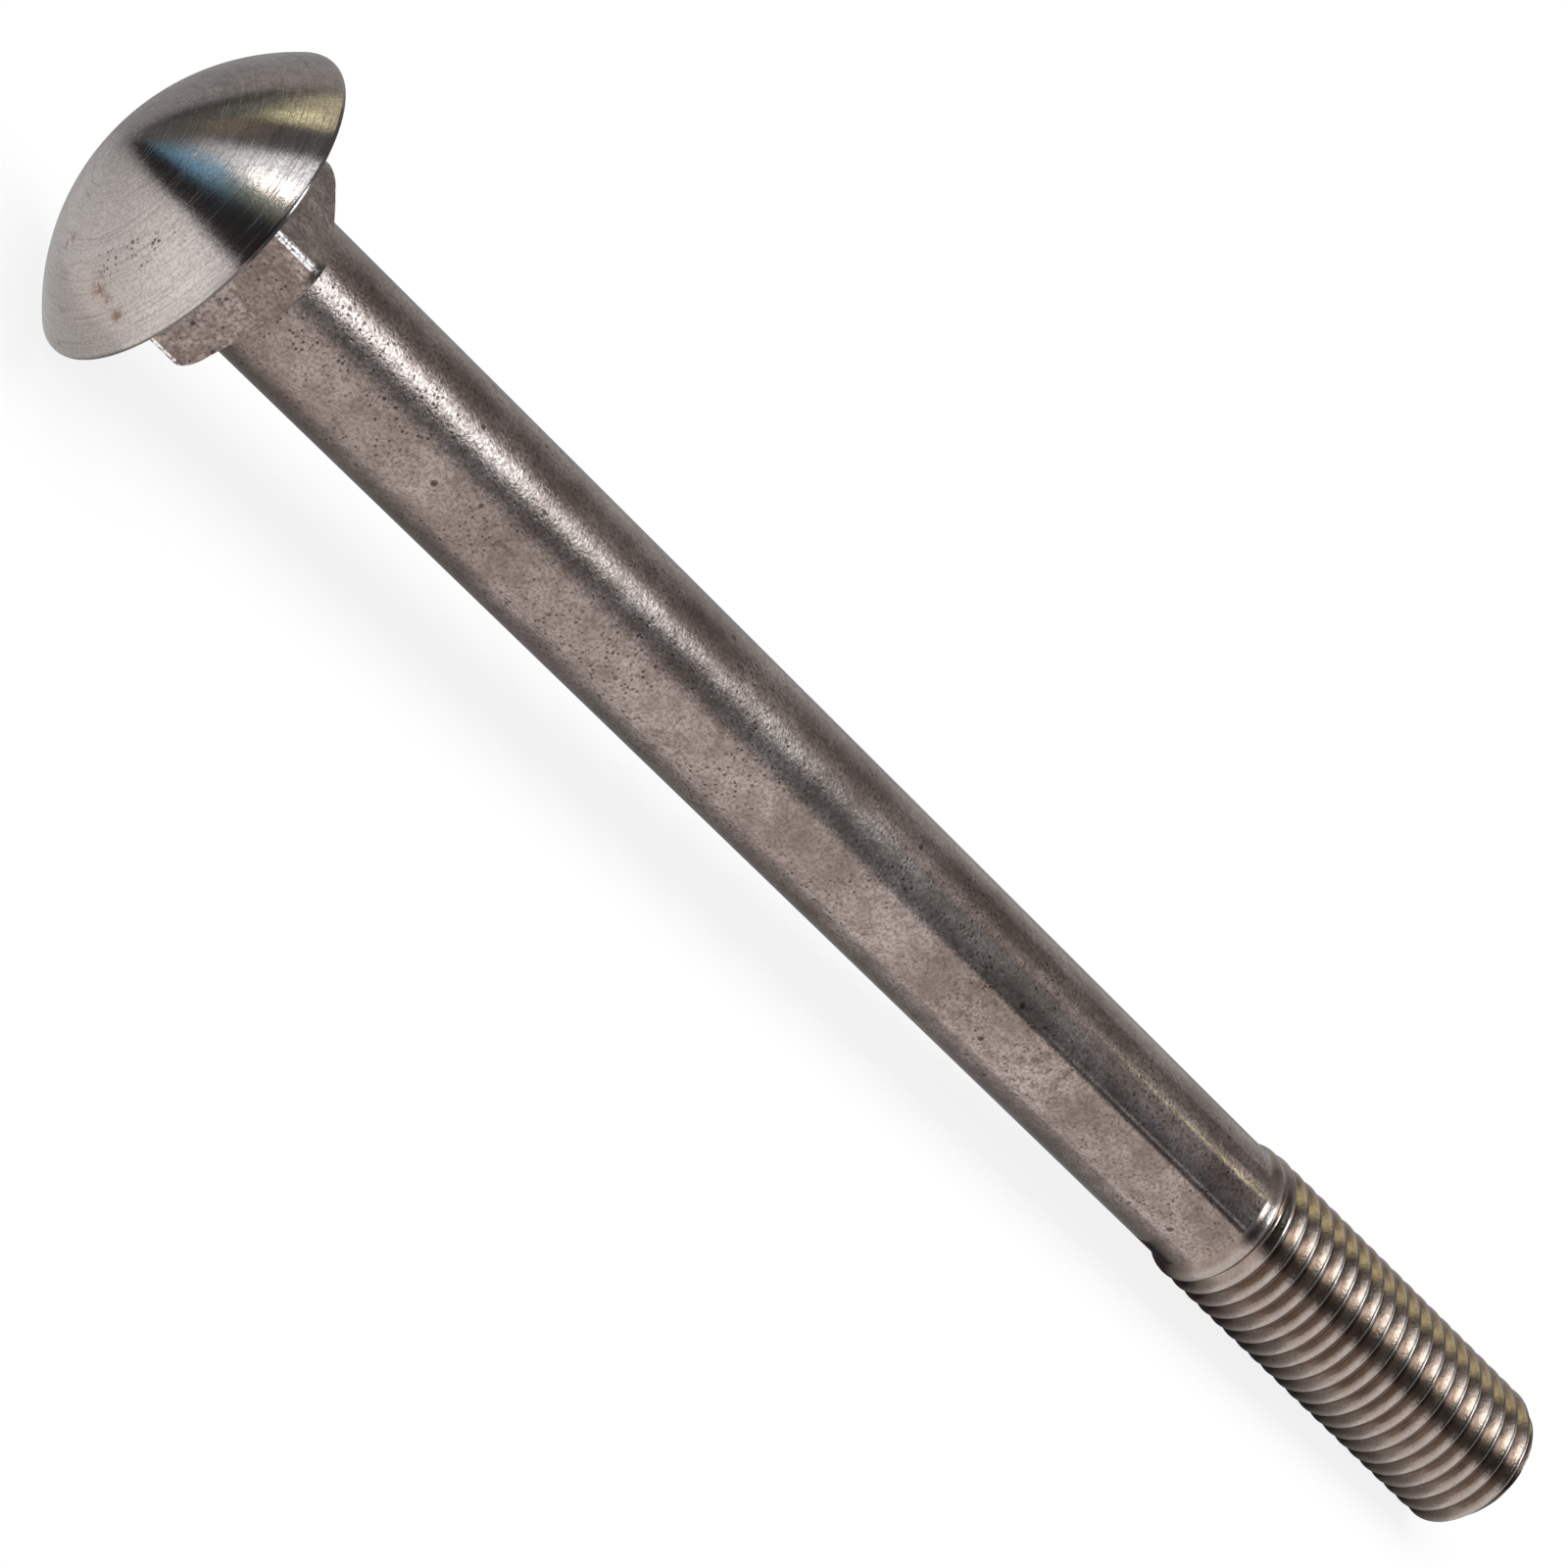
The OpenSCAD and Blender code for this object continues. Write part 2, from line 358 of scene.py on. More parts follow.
def shank_rows():
    """Even stations from the neck's fillet to the thread, at one radius."""
    station = np.linspace(neck_depth + neck_fillet, thread_start, 37)[1:]
    return station, np.full_like(station, shank_radius)


def scratched(tree, where, axis, turn, spacing, length, share):
    """Thin scratches from 0 to 1: noise drawn out along one line, after the place is turned about an axis."""
    turned = joined(tree, "ShaderNodeVectorRotate", {"rotation_type": "AXIS_ANGLE"}, {
        "Vector": where, "Axis": axis, "Angle": turn})
    lines = cloud(tree, turned.outputs[0], 1.0, 1.0, 0.4, (1.0 / length, 1.0 / spacing, 1.0 / spacing))
    return between(tree, lines, share, share + 0.05)


shank_steel, tree, shader = steel("satin_drawn_steel")
where = millimetres(tree)
station = round_axis(tree, where)[2]
# Across the bolt, from its axis to the side that is scratched
facing = (0.0, -0.886, 0.464)
mottle = cloud(tree, where, 0.11, 6.0, 0.68, (0.7, 1.0, 1.0))
grain = cloud(tree, where, 2.3, 5.0, 0.8)
smudge = cloud(tree, where, 0.38, 4.0, 0.65)
hammered = cloud(tree, where, 1.0, 4.0, 0.65, (3.4, 2.8, 2.8))
specks = dots(tree, where, 0.5, 0.25, 0.9)
patches = between(tree, cloud(tree, where, 0.1, 3.0, 0.55), 0.36, 0.60, 0.12, 1.0)
craters = dots(tree, where, 2.8, 0.55, 0.5)
pits = maths(tree, "MAXIMUM", times(tree, specks, patches), craters)
hair = maths(tree, "MAXIMUM", scratched(tree, where, facing, 0.5, 0.14, 3.0, 0.735),
             scratched(tree, where, facing, -0.8, 0.14, 2.4, 0.74))
skin = tinted(tree, between(tree, mottle, 0.34, 0.66), (0.27, 0.213, 0.188), (0.50, 0.413, 0.378))
# Darker towards the neck, fading out along the shank: painted shade from the head and neck
shaded_near_head = tinted(tree, between(tree, station, 15, 70, 0.25, 0.0), skin, (0.19, 0.14, 0.115))
smudged = tinted(tree, between(tree, smudge, 0.46, 0.66, 0.0, 0.45), shaded_near_head, (0.19, 0.14, 0.115))
grained = tinted(tree, between(tree, grain, 0.43, 0.61, 0.0, 0.72), smudged, (0.15, 0.112, 0.095))
pitted = tinted(tree, times(tree, pits, 0.85), grained, (0.055, 0.039, 0.032))
stain_zone = zones(tree, where, (
    ((126.0, -8.5, 1.5), 1.0, 7.0), ((139.0, -8.6, 0.8), 1.0, 9.0), ((47.0, -8.4, 2.0), 0.5, 5.0),
    ((78.0, -7.4, -4.0), 1.0, 9.0)))
stains = times(tree, stain_zone, between(tree, cloud(tree, where, 0.85, 3.0, 0.6), 0.53, 0.62), 0.55)
browned = tinted(tree, stains, pitted, (0.12, 0.08, 0.06))
marked = tinted(tree, times(tree, hair, 0.45), browned, (0.09, 0.07, 0.06))
tree.links.new(marked, shader.inputs["Base Color"])
dull = between(tree, mottle, 0.3, 0.7, 0.135, 0.185)
# Towards the thread the bar is smoother and flatter
smoother = between(tree, station, 60, 155, 1.0, 0.48)
tree.links.new(times(tree, dull, smoother), shader.inputs["Roughness"])
depth = maths(tree, "SUBTRACT", hammered, times(tree, maths(tree, "ADD", pits, hair), 0.5))
height = maths(tree, "ADD", depth, times(tree, grain, 0.35))
flatter = between(tree, station, 60, 155, 1.0, 0.18)
raised(tree, shader, times(tree, height, flatter), 0.00004)


# The thread: pressed into the bar between flat dies, ten turns to the inch and right hand.
# Rolling leaves its crests and roots slightly round, and its crests brighter than the shank.
bolt_length = 228.59
thread_radius = 9.45
pitch = 2.54
thread_depth = 1.5
crest_width = 0.32
crest_softness = 0.24
crest_rise = 0.05
root_softness = 0.08
run_out = 2.0
fade_turns = 0.8
thread_turn = np.radians(60.0)
point_radius = 2.0
first_crest = thread_start + 0.3 + crest_width / 2
thread_end = 227.9
groove_whole_from = 200.0
# Places of the rows between two crests: closest where the section curves most
crest_offsets = [0.0, 0.11, 0.2, 0.34, 0.66, 0.96, 1.12]
row_phase = np.array(crest_offsets + [pitch / 2] + [pitch - d for d in crest_offsets[:0:-1]]) / pitch
end_face_radii = [7.2, 6.4, 5.0, 3.4, 1.7, 0.0]


def groove_depth(off_crest):
    """Depth below the crest by the distance from it, at half of the grooves' 60 degrees.

    The straight flank turns into the crest by the logarithm of one plus its exponential, which is
    clipped to stay finite, and into the root by the rounded lesser of both.
    """
    straight = (off_crest - crest_width / 2) / np.tan(np.radians(30))
    bend = np.log1p(np.exp(np.clip(straight / crest_softness, -40, 40)))
    from_crest = crest_softness * bend - crest_rise
    return lesser(from_crest, np.full_like(from_crest, thread_depth), root_softness)


def thread_surface(station, angle, phase, turns):
    """Radius of the widening shank less the groove, and never outside the point's rounded edge.

    The shank widens by a smooth step, and the groove deepens evenly over its first turns.
    """
    rise = np.clip((station - thread_start) / run_out, 0.0, 1.0)
    outside = shank_radius + (thread_radius - shank_radius) * rise * rise * (3 - 2 * rise)
    off_crest = np.abs(phase - np.round(phase)) * pitch
    fade = np.clip(turns / fade_turns, 0.0, 1.0)
    radius = outside - fade * groove_depth(off_crest)
    reach = np.clip((station - bolt_length + point_radius) / point_radius, 0.0, 1.0)
    point = thread_radius + 0.1 - point_radius * (1 - np.sqrt(1 - reach * reach))
    return lesser(radius, point, 0.04)


def thread_rows(angle):
    """Rows that climb with the helix: each keeps its place between two crests, and stays on the thread."""
    first, last = -1, int((thread_end - first_crest) / pitch) + 2
    crest = np.repeat(np.arange(first, last), len(row_phase))
    phase = crest + np.tile(row_phase, last - first)
    turned = (angle - thread_turn) / (2 * np.pi)
    station = first_crest + pitch * (phase[:, None] + turned)
    held = np.clip(station, thread_start, thread_end)
    held_phase = (held - first_crest) / pitch - turned
    turns = np.where(held == station, crest[:, None] + turned, held_phase)
    turns = np.where(held > groove_whole_from, 1.0, turns)
    return held, thread_surface(held, angle, held_phase, turns)


def point_rows(angle):
    """Rows from the last full section round the point's edge to the middle of its flat end."""
    begin = np.arcsin((thread_end - bolt_length + point_radius) / point_radius)
    sweep = np.linspace(begin, np.pi / 2, 11)
    station = bolt_length - point_radius + point_radius * np.sin(sweep)
    phase = (station[:, None] - first_crest) / pitch - (angle - thread_turn) / (2 * np.pi)
    edge = thread_surface(station[:, None] + 0 * angle, angle, phase, np.ones_like(phase))
    face = np.array(end_face_radii)[:, None] + 0 * angle
    return np.r_[station, np.full(len(face), bolt_length)], np.vstack([edge, face])


thread_steel, tree, shader = steel("rolled_thread_steel")
where = millimetres(tree)
mottle = cloud(tree, where, 0.3, 5.0, 0.65)
grain = cloud(tree, where, 2.6, 4.0, 0.7)
distance = round_axis(tree, where)[0]
crest_share = between(tree, distance, 8.9, 9.3)
flank = tinted(tree, between(tree, mottle, 0.3, 0.7), (0.275, 0.213, 0.176), (0.38, 0.305, 0.26))
metal = tinted(tree, crest_share, flank, (0.43, 0.37, 0.34))
# Near-black deep in the grooves: painted shade
root = tinted(tree, between(tree, distance, 7.95, 8.35, 0.85, 0.0), metal, (0.05, 0.036, 0.03))
grained = tinted(tree, between(tree, grain, 0.4, 0.75, 0.0, 0.35), root, (0.15, 0.115, 0.10))
tree.links.new(grained, shader.inputs["Base Color"])
tree.links.new(between(tree, mottle, 0.3, 0.7, 0.15, 0.21), shader.inputs["Roughness"])
raised(tree, shader, grain, 0.00002)


# The bolt in one piece: head, neck, shank, thread and point are one skin with no seam.
# Every ring of the skin has the same columns, and rings that fall together are made one.
def sheared(rows, slip):
    """Corners of every cell of a grid, where going on from the last column to the first climbs slip rows."""
    row, column = np.mgrid[0:rows - 1, 0:columns]
    after = (column + 1) % columns
    up = np.where(after == 0, slip, 0)
    keep = row + 1 + up < rows
    corners = [(row, column), (row + up, after), (row + 1 + up, after), (row + 1, column)]
    return [np.minimum(r, rows - 1)[keep] * columns + c[keep] for r, c in corners], (column + 1)[keep]


def skin_block(station, radius, angle, slip):
    """Points, triangles and unrolled places of one block of rings.

    A point's unrolled place is the length along its column's profile, and its share of a turn.
    """
    rows = len(radius)
    station = station if station.ndim == 2 else station[:, None] + 0 * angle
    radius = radius if radius.ndim == 2 else radius[:, None] + 0 * angle
    points = placed(station, radius, angle).reshape(-1, 3)
    (a, b, c, d), after = sheared(rows, slip)
    reach = np.hypot(np.diff(station, axis=0, prepend=station[:1]),
                     np.diff(radius, axis=0, prepend=radius[:1])).cumsum(0).ravel()
    turn = angle[a % columns] / (2 * np.pi)
    next_turn = np.where(after == columns, 1.0, 0.0) + angle[b % columns] / (2 * np.pi)
    places = [np.stack([reach[k], t], 1) for k, t in ((a, turn), (b, next_turn), (c, next_turn), (d, turn))]
    triangles = np.vstack([np.stack([a, b, c], 1), np.stack([a, c, d], 1)])
    unrolled = np.concatenate([np.stack([places[0], places[1], places[2]], 1),
                               np.stack([places[0], places[2], places[3]], 1)])
    return points, triangles, unrolled


def bolt_mesh(blocks):
    """Stack the blocks, make points that fall together one, and leave out triangles that have no area."""
    points, worn, triangles, unrolled, finish = [], [], [], [], []
    count = 0
    for station, radius, wear, slip, slot in blocks:
        p, t, u = skin_block(station, radius, angle, slip)
        points.append(p)
        worn.append(np.broadcast_to(wear, (len(radius), columns)).ravel())
        triangles.append(t + count)
        unrolled.append(u)
        finish.append(np.full(len(t), slot))
        count += len(p)
    points = np.vstack(points)
    worn = np.concatenate(worn)
    triangles = np.vstack(triangles)
    unrolled = np.concatenate(unrolled)
    finish = np.concatenate(finish)
    _, first, number = np.unique(np.round(points * 1e7).astype(np.int64), axis=0,
                                 return_index=True, return_inverse=True)
    triangles = number.ravel()[triangles]
    solid = ((triangles[:, 0] != triangles[:, 1]) & (triangles[:, 1] != triangles[:, 2])
             & (triangles[:, 2] != triangles[:, 0]))
    return points[first], worn[first], triangles[solid], unrolled[solid], finish[solid]


def as_object(name, points, worn, triangles, unrolled, finish, materials):
    """Put arrays of points and triangles into a smooth mesh with its unrolled map and its finishes."""
    mesh = bpy.data.meshes.new(name)
    mesh.vertices.add(len(points))
    mesh.vertices.foreach_set("co", points.astype(np.float32).ravel())
    mesh.loops.add(triangles.size)
    mesh.loops.foreach_set("vertex_index", triangles.astype(np.int32).ravel())
    mesh.polygons.add(len(triangles))
    mesh.polygons.foreach_set("loop_start", np.arange(0, triangles.size, 3, dtype=np.int32))
    for material in materials:
        mesh.materials.append(material)
    mesh.polygons.foreach_set("material_index", finish.astype(np.int32))
    mesh.polygons.foreach_set("use_smooth", np.ones(len(triangles), bool))
    mesh.attributes.new("wear", "FLOAT", "POINT").data.foreach_set("value", worn.astype(np.float32))
    layer = mesh.uv_layers.new(name="turning")
    layer.data.foreach_set("uv", unrolled.astype(np.float32).ravel())
    mesh.update(calc_edges=True)
    mesh.validate()
    piece = bpy.data.objects.new(name, mesh)
    bpy.context.scene.collection.objects.link(piece)
    return piece


angle = columns_round_axis()
top_station, top_radius = dome_rows()
neck_station, neck_radius, worn_neck = neck_rows(angle)
bar_station, bar_radius = shank_rows()
helix_station, helix_radius = thread_rows(angle)
end_station, end_radius = point_rows(angle)


def followed(station, radius, more_station, more_radius):
    """The last row of one block, followed by the rows of the next."""
    first = (radius[-1] if radius.ndim == 2 else np.full(columns, radius[-1]))[None]
    more = more_radius if more_radius.ndim == 2 else more_radius[:, None] + 0 * angle
    return np.r_[station[-1:], more_station], np.vstack([first, more])


# Each block: its rings' stations and radii, its wear, the rows that its seam climbs, and its finish
bolt = as_object("bolt_surface", *bolt_mesh([
    (top_station, top_radius, 0.0, 0, 0),
    (*followed(top_station, top_radius, neck_station, neck_radius), np.vstack([worn_neck[:1], worn_neck]),
     0, 1),
    (*followed(neck_station, neck_radius, bar_station, bar_radius), 0.0, 0, 2),
    (helix_station, helix_radius, 0.0, len(row_phase), 3),
    (end_station, end_radius, 0.0, 0, 3),
]), [dome_steel, neck_steel, shank_steel, thread_steel])
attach(bolt, "root")
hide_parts("carriage_bolt")


# The floor: a wide sheet of white card that lies under the bolt and keeps its soft shadow.
# Where the camera or the metal sees it, it glows a little, so that it comes out plain and pale.
floor_mesh = bpy.data.meshes.new("floor")
floor_mesh.from_pydata([(-4, -4, 0), (4, -4, 0), (4, 4, 0), (-4, 4, 0)], [], [(0, 1, 2, 3)])
floor = bpy.data.objects.new("floor", floor_mesh)
bpy.context.scene.collection.objects.link(floor)
card = bpy.data.materials.new("white_card")
card.use_nodes = True
tree = card.node_tree
shader = tree.nodes["Principled BSDF"]
shader.inputs["Base Color"].default_value = (0.82, 0.82, 0.82, 1.0)
shader.inputs["Roughness"].default_value = 0.9
shader.inputs["Specular IOR Level"].default_value = 0.0
ray = joined(tree, "ShaderNodeLightPath")
seen = maths(tree, "MAXIMUM", ray.outputs["Is Camera Ray"],
             maths(tree, "MAXIMUM", ray.outputs["Is Glossy Ray"], ray.outputs["Is Transmission Ray"]))
glow = joined(tree, "ShaderNodeEmission", None, {"Color": (1.0, 1.0, 1.0, 1.0), "Strength": 1.0})
mixed = joined(tree, "ShaderNodeMixShader", None, {
    0: times(tree, seen, 0.86), 1: shader.outputs[0], 2: glow.outputs[0]})
tree.links.new(mixed.outputs[0], tree.nodes["Material Output"].inputs["Surface"])
floor_mesh.materials.append(card)


# The studio: one large soft lamp overhead, a plain world, and cards round the table and on it.
# The cards are seen only in the metal: white and black card, lit panels, and what stands behind them.
def sheet(name, corners, colours):
    """Flat card through corners in metres, of one colour or a colour for each corner, seen only in metal."""
    mesh = bpy.data.meshes.new(name)
    mesh.from_pydata([tuple(map(float, c)) for c in corners], [], [tuple(range(len(corners)))])
    if not isinstance(colours, list):
        colours = [colours] * len(corners)
    shades = mesh.attributes.new("light", "FLOAT_COLOR", "POINT")
    shades.data.foreach_set("color", np.array([(*c, 1.0) for c in colours], np.float32).ravel())
    thing = bpy.data.objects.new(name, mesh)
    bpy.context.scene.collection.objects.link(thing)
    material = bpy.data.materials.new(name)
    material.use_nodes = True
    tree = material.node_tree
    tree.nodes.remove(tree.nodes["Principled BSDF"])
    shade = joined(tree, "ShaderNodeAttribute", {"attribute_name": "light"})
    glow = joined(tree, "ShaderNodeEmission", None, {"Color": shade.outputs["Color"], "Strength": 1.0})
    tree.links.new(glow.outputs[0], tree.nodes["Material Output"].inputs["Surface"])
    mesh.materials.append(material)
    thing.visible_camera = False
    thing.visible_diffuse = False
    thing.visible_shadow = False
    thing.visible_transmission = False


def beyond_head(distance, *leans):
    """Corners at one distance from the head, each by how far its direction leans to the front and up.

    The direction's third part, back along the bolt, is what makes its length one.
    """
    head = placed(np.array(-6.0), np.array(0.0), np.array(0.0))
    out = []
    for lean, lift in leans:
        back = -np.sqrt(max(0.0, 1.0 - lean * lean - lift * lift))
        out.append(head + distance * (back * along - lean * aside + lift * above))
    return out


def along_bolt(distance, begin, end, low, high):
    """Corners of a long strip beside the bolt, between two heights given in degrees up from the front."""
    out = []
    for height, order in ((low, (begin, end)), (high, (end, begin))):
        turn = np.radians(height)
        for x in order:
            out.append((x, -distance * np.cos(turn), 0.012 + distance * np.sin(turn)))
    return out


def on_table(height, *places):
    """Corners of a card that lies on the table, given in millimetres."""
    return [(x / 1000.0, y / 1000.0, height / 1000.0) for x, y in places]


def grey(shade):
    """Neutral colour of one lightness."""
    return (shade, shade, shade)


def fading(lower, upper):
    """Colours of a strip's four corners: one along its lower edge, one along its upper edge."""
    return [lower, lower, upper, upper]


# Cards beside the bolt, which its shank and crests show as bands
sheet("front_white", along_bolt(0.45, -0.02, 1.6, -3, 25), grey(0.97))
sheet("front_dark", along_bolt(0.44, -0.02, 1.6, 27, 60),
      fading((0.12, 0.13, 0.14), (0.28, 0.315, 0.34)))
sheet("front_dark_lighter", along_bolt(0.435, 0.20, 0.33, 27, 60),
      [(0.18, 0.20, 0.21), (0.14, 0.16, 0.17), (0.36, 0.40, 0.43), (0.43, 0.48, 0.52)])
sheet("front_dark_beyond", along_bolt(0.45, 0.41, 1.6, 59, 89), grey(0.08))
for begin, end, first, last in ((0.13, 0.36, 2.2, 1.0), (0.36, 1.6, 1.0, 1.0)):
    sheet("thin_pale_edge", along_bolt(0.425, begin, end, 34.0, 36.0),
          [(0.91 * s, 0.95 * s, s) for s in (first, last, last, first)])
for begin, end, first, last in (
        (-0.02, 0.12, 10.0, 9.0), (0.12, 0.155, 9.0, 3.8), (0.155, 0.18, 3.8, 4.8), (0.18, 0.205, 4.8, 3.2),
        (0.205, 0.23, 3.2, 0.6), (0.23, 0.26, 0.6, 0.52), (0.26, 0.41, 0.52, 0.42)):
    sheet("lit_panel", along_bolt(0.5, begin, end, 63, 81),
          [(0.90 * s, 1.02 * s, 1.09 * s) for s in (first, last, last, first)])
sheet("thin_yellow_edge", along_bolt(0.43, 0.372, 0.46, 91.9, 92.7), (4.2, 4.9, 2.6))
sheet("panel_over_thread", along_bolt(0.44, 0.43, 0.85, 88, 109), grey(4.5))
sheet("back_mid", along_bolt(0.46, -0.02, 1.6, 82, 102), grey(0.52))
sheet("back_dark", along_bolt(0.46, -0.02, 1.6, 102, 135), fading(grey(0.34), grey(0.25)))
sheet("dark_ceiling", [(-0.5, -1.4, 1.2), (0.5, -1.4, 1.2), (0.5, 1.4, 1.2), (-0.5, 1.4, 1.2)], grey(0.10))
sheet("back_grey", along_bolt(0.45, -0.02, 1.6, 138, 178), fading(grey(0.44), grey(0.62)))
sheet("yellow_strip", along_bolt(0.43, -0.01, 0.13, 162.5, 166), (3.0, 3.0, 1.6))
sheet("far_end", [(1.6, -0.7, 0.0), (1.6, 0.7, 0.0), (1.6, 0.7, 0.9), (1.6, -0.7, 0.9)], grey(0.16))

# Cards far beyond the head, which its dome gathers into wedges
night = grey(0.03)
sheet("far_black", beyond_head(9.0, (-0.9, -0.1), (-0.05, -0.1), (0.535, 0.172), (0.8, 0.28), (0.85, 0.5),
                               (0.5, 0.85), (0.0, 0.99), (-0.5, 0.86), (-0.9, 0.42)), night)
sheet("far_white", beyond_head(2.95, (-0.05, -0.12), (-0.05, -0.09), (0.535, 0.17), (0.8, 0.28), (0.95, 0.28),
                               (0.99, -0.12)), grey(1.12))
sheet("far_olive", beyond_head(2.9, (-0.2, 0.2), (-0.088, 0.2), (0.046, 0.333), (0.23, 0.46), (0.3, 0.66),
                               (0.1, 0.66), (-0.11, 0.41)),
      [(0.33, 0.43, 0.45), (0.25, 0.28, 0.24), (0.24, 0.27, 0.20), (0.17, 0.19, 0.145), (0.36, 0.40, 0.30),
       (0.52, 0.57, 0.43), (0.48, 0.55, 0.46)])
sheet("far_blue", beyond_head(2.85, (-0.46, -0.06), (-0.377, -0.068), (-0.266, 0.032), (-0.13, 0.11),
                              (-0.088, 0.2), (-0.2, 0.29), (-0.33, 0.165), (-0.445, 0.02)),
      [(0.34, 0.71, 1.03)] * 4 + [(0.23, 0.46, 0.60)] * 2 + [(0.37, 0.76, 1.10)] * 2)
sheet("far_lamp", beyond_head(2.8, (-0.6, -0.02), (-0.47, -0.02), (-0.333, 0.166), (-0.232, 0.255),
                              (-0.11, 0.41), (0.11, 0.64), (0.15, 0.8), (-0.2, 0.85), (-0.288, 0.555),
                              (-0.333, 0.4), (-0.41, 0.266), (-0.488, 0.13)),
      [(0.94 * s, s, 1.04 * s) for s in (0.5, 0.5, 1.0, 1.35, 1.9, 1.9, 1.8, 1.8, 1.9, 1.6, 1.1, 0.8)])
sheet("lamp_core", beyond_head(2.6, (-0.08, 0.46), (-0.01, 0.47), (0.05, 0.56), (0.03, 0.62), (-0.05, 0.62),
                               (-0.10, 0.54)), (11.0, 10.5, 9.6))
sheet("far_dark", beyond_head(2.75, (-0.66, -0.02), (-0.6, -0.02), (-0.488, 0.13), (-0.41, 0.266),
                              (-0.333, 0.4), (-0.288, 0.555), (-0.2, 0.85), (-0.5, 0.8), (-0.56, 0.5),
                              (-0.55, 0.3)), grey(0.13))
sheet("far_brown", beyond_head(2.7, (-0.71, -0.01), (-0.588, 0.02), (-0.52, 0.277), (-0.666, 0.31)),
      (0.37, 0.31, 0.21))
sheet("far_green", beyond_head(2.68, (-0.84, 0.3), (-0.62, 0.31), (-0.7, 0.0), (-0.78, 0.0), (-0.83, 0.15)),
      (0.17, 0.20, 0.185))
sheet("far_gold", beyond_head(2.65, (-0.88, 0.44), (-0.82, 0.36), (-0.61, 0.36), (-0.54, 0.6), (-0.54, 0.75),
                              (-0.7, 0.7), (-0.85, 0.5)), (0.86, 0.82, 0.57))
sheet("gold_spot", beyond_head(2.55, (-0.70, 0.42), (-0.62, 0.42), (-0.62, 0.49), (-0.70, 0.49)),
      (3.0, 3.0, 1.65))
sheet("far_streak", beyond_head(2.6, (-0.87, 0.42), (-0.83, 0.3), (-0.78, -0.03), (-0.84, -0.03),
                                (-0.87, 0.2)), grey(0.07))
sheet("far_grey", beyond_head(2.6, (-0.87, 0.42), (-0.87, 0.2), (-0.84, -0.05), (-0.995, -0.05),
                              (-0.98, 0.15), (-0.9, 0.43)), (0.43, 0.405, 0.385))

# Cards that lie on the table: dark ones behind the head, a grey one behind the bolt, and painted shadow:
# darker cards under the head and under the bolt
sheet("table_back", on_table(1.0, (-141, 44), (-220, 180), (-1000, 1400), (-1000, 3900), (1500, 3900),
                             (1500, 60), (-60, 40), (-100, 30)), grey(0.38))
for name, light, places in (
        ("table_pale", (1.0, 0.70, 0.80, 1.15), ((-170, 0), (-170, 43), (-3000, 60), (-3000, -100))),
        ("table_pale_front", (1.3, 1.0, 1.2, 1.6), ((-170, -40), (-170, 0), (-3000, -100), (-3000, -3000))),
        ("table_front", (1.05, 1.30, 1.6, 1.6, 1.1),
         ((-120, -22), (-170, -40), (-3000, -3000), (0, -3000), (-100, -25))),
        ("table_near", (1.05, 0.48, 0.62, 1.0, 1.3),
         ((-120, -22), (-120, 43), (-170, 43), (-170, 0), (-170, -40))),
        # The card under the head and neck is the head's shadow, painted darker
        ("table_head_shadow", (0.55, 0.40, 0.46, 0.80), ((-100, -25), (-100, 34), (-120, 43), (-120, -22)))):
    sheet(name, on_table(0.6, *places), [(s, s, 0.98 * s) for s in light])
sheet("table_spot", on_table(1.1, (-148, 44), (-149, 35), (-142, 33.5), (-136, 32), (-131, 33), (-129, 39),
                             (-134, 48), (-141, 52)), grey(0.26))
sheet("table_dark", on_table(1.2, (-137, 39), (-143, 54), (-150, 68), (-180, 112), (-226, 178), (-1000, 1400),
                             (-3000, 3900), (-3000, 1500), (-300, 110), (-185, 58), (-150, 40)), grey(0.165))
sheet("table_black", on_table(1.5, (-140, 38.5), (-152, 33.5), (-165, 31), (-300, 26), (-3000, 20),
                              (-3000, 1150), (-185, 60), (-148, 47)), night)
sheet("table_teal", on_table(1.8, (-165, 55), (-570, 292), (-3000, 1500), (-3000, 2200), (-330, 300),
                             (-200, 100)), (0.135, 0.15, 0.145))
sheet("table_streak", on_table(2.0, (-150, 48), (-1000, 1130), (-1000, 1400), (-220, 180)), grey(0.07))
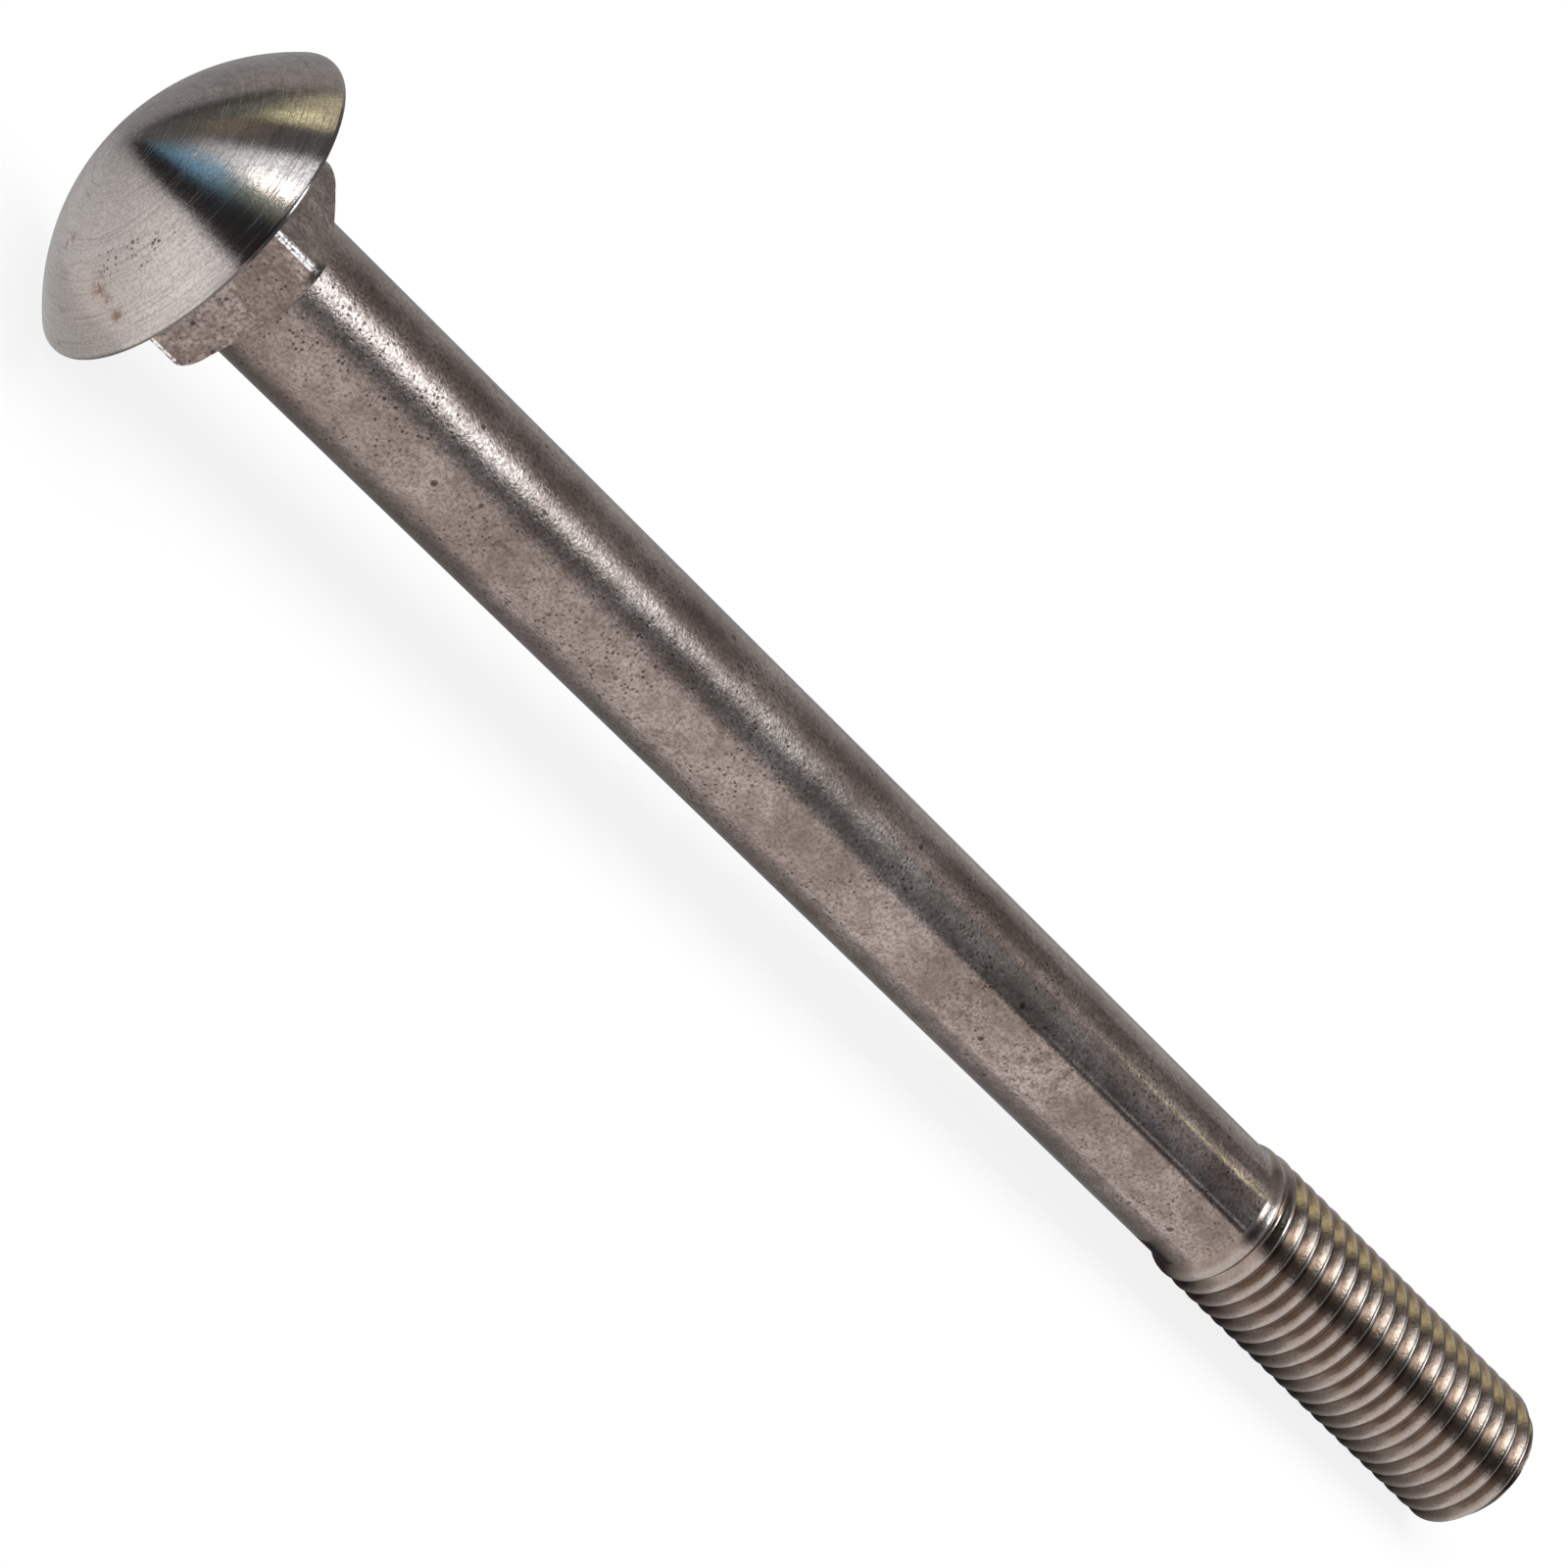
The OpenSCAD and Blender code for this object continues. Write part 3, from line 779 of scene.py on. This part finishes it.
sheet("table_blue", on_table(2.2, (-165, 52), (-300, 97), (-3000, 1130), (-3000, 1500), (-570, 290),
                             (-300, 122), (-200, 70)),
      [(0.12, 0.25, 0.36)] + [(0.28, 0.62, 0.90)] * 5 + [(0.2, 0.45, 0.64)])
for name, begin, end, first, last in (
        ("table_shade", -98, 64, 0.62, 0.24), ("table_shade_at_thread", 64, 124, 0.75, 0.04)):
    sheet(name, on_table(0.3, (begin, -13), (end, -12), (end, -4), (begin, -4)),
          fading(grey(first), grey(last)))
    sheet(name, on_table(0.3, (begin, -4), (end, -4), (end, 22), (begin, 22)), grey(last))

# The lamp overhead, and the plain world
lamp = bpy.data.lights.new("overhead_lamp", "AREA")
lamp.shape = "RECTANGLE"
lamp.size = 1.6
lamp.size_y = 1.2
lamp.energy = 26.0
overhead = bpy.data.objects.new("overhead_lamp", lamp)
overhead.location = (0.1, 0.1, 1.5)
overhead.visible_glossy = False
bpy.context.scene.collection.objects.link(overhead)

world = bpy.data.worlds.new("studio")
bpy.context.scene.world = world
world.use_nodes = True
backdrop = world.node_tree.nodes["Background"]
backdrop.inputs["Color"].default_value = (0.95, 0.95, 0.96, 1.0)
backdrop.inputs["Strength"].default_value = 0.45


# The camera: a long lens above the front of the bolt, on the head's side.
# It is rolled so that the bolt lies from corner to corner of the picture.
camera_data = bpy.data.cameras.new("camera")
camera_data.sensor_width = 36.0
camera_data.lens = 135.0
camera_data.clip_start = 0.05
camera_data.clip_end = 50.0
camera = bpy.data.objects.new("camera", camera_data)
lens_at = Vector((-0.324674, -0.480030, 0.281570))
right = Vector((0.649081, 0.002252, 0.760715)).normalized()
forward = Vector((0.491986, 0.761466, -0.422042)).normalized()
upward = right.cross(forward).normalized()
right = forward.cross(upward).normalized()
camera.matrix_world = Matrix((
    (right.x, upward.x, -forward.x, lens_at.x),
    (right.y, upward.y, -forward.y, lens_at.y),
    (right.z, upward.z, -forward.z, lens_at.z),
    (0.0, 0.0, 0.0, 1.0),
))
bpy.context.scene.collection.objects.link(camera)
bpy.context.scene.camera = camera

bpy.context.scene.view_settings.view_transform = "Standard"
